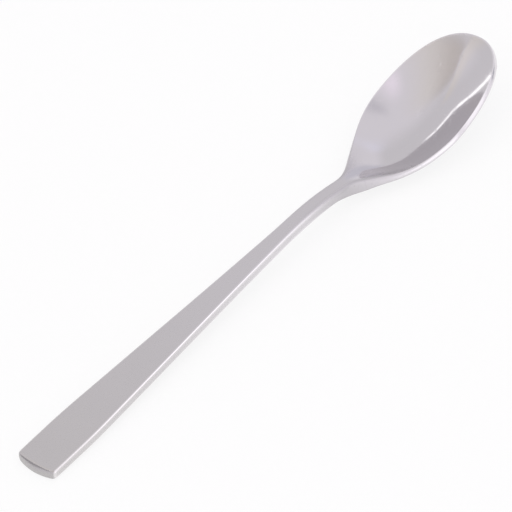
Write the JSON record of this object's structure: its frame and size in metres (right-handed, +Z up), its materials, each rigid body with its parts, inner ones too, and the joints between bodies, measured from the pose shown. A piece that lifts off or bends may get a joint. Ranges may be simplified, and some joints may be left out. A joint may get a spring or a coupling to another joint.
{
  "type": "dinner spoon",
  "caption": "Plain polished steel dinner spoon: flat tapering handle, narrow neck that bends down, and a deep egg-shaped bowl with a thin rim.",
  "frame": {"origin": "bottom middle of the spoon's box, on the surface that it rests on", "axes": "+X from the handle's butt to the bowl's tip, +Y to the left looking from the butt to the bowl, +Z up out of the bowl"},
  "size_m": [0.2002, 0.0396, 0.0188],
  "materials": {
    "handle_steel": "satin polish",
    "neck_steel": "polished",
    "bowl_steel": "bright polish"
  },
  "bodies": {
    "root": {"handle": "handle_steel", "neck": "neck_steel", "bowl": "bowl_steel"}
  },
  "joints": []
}
